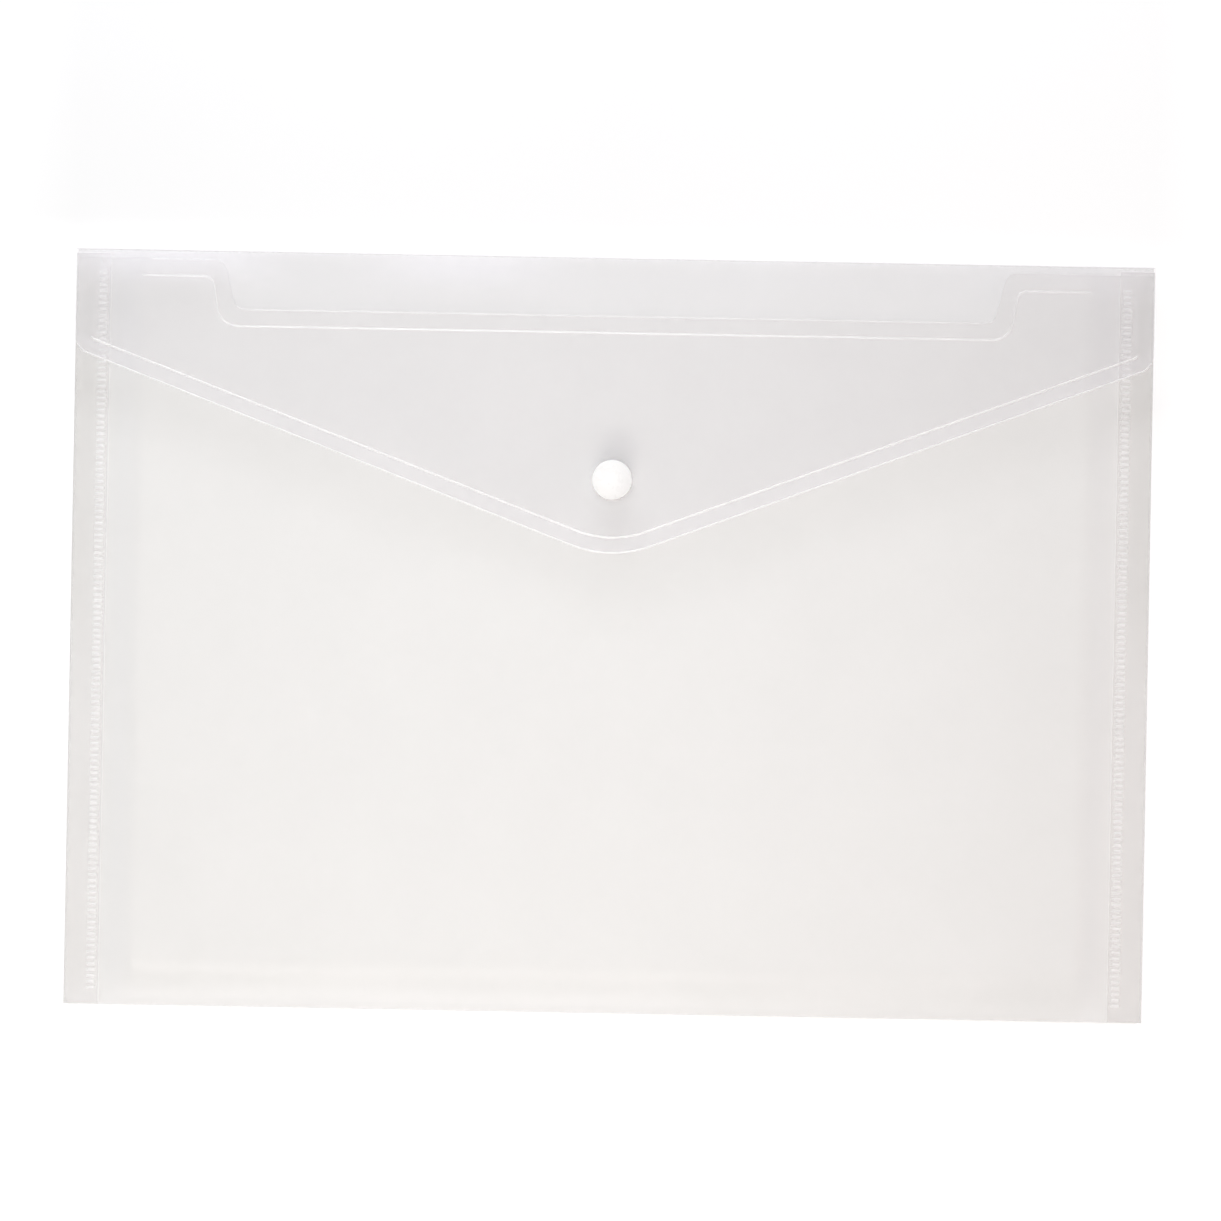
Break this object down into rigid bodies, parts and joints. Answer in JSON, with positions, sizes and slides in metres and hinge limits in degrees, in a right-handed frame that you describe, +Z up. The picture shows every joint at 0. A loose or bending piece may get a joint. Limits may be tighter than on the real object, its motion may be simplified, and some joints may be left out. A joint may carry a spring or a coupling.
{
  "type": "document wallet",
  "caption": "Envelope wallet of frosted translucent plastic sheet for A4 papers: welded pocket with a thumb notch, V-shaped flap on a creased spine, and a press stud.",
  "frame": {"origin": "middle of the underside of the wallet, lying shut on its back", "axes": "+X along its width, +Y towards the fold that carries the flap, +Z up out of the front panel"},
  "size_m": [0.335, 0.235, 0.0099],
  "materials": {
    "frosted_sheet": "frosted translucent polypropylene sheet with a soft sheen",
    "welded_sheet": "polypropylene whitened by welding",
    "stud_plastic": "white moulded plastic"
  },
  "bodies": {
    "pocket": {"back_panel": "frosted_sheet", "left_flange": "frosted_sheet", "right_flange": "frosted_sheet", "bottom_fold": "frosted_sheet", "front_panel": "frosted_sheet", "left_weld": "welded_sheet", "right_weld": "welded_sheet", "stud_knob": "stud_plastic", "stud_back_cap": "stud_plastic"},
    "spine": {"spine": "frosted_sheet"},
    "flap": {"flap": "frosted_sheet", "stud_cap": "stud_plastic", "stud_socket": "stud_plastic"}
  },
  "joints": [
    {"name": "lower_crease", "type": "hinge", "parent": "pocket", "child": "spine", "pos_m": [0, 0.11737, 0.00013], "axis": [-1, 0, 0], "range_deg": [0, 89]},
    {"name": "upper_crease", "type": "hinge", "parent": "spine", "child": "flap", "pos_m": [0, 0.11737, 0.00822], "axis": [-1, 0, 0], "range_deg": [0, 89]}
  ]
}
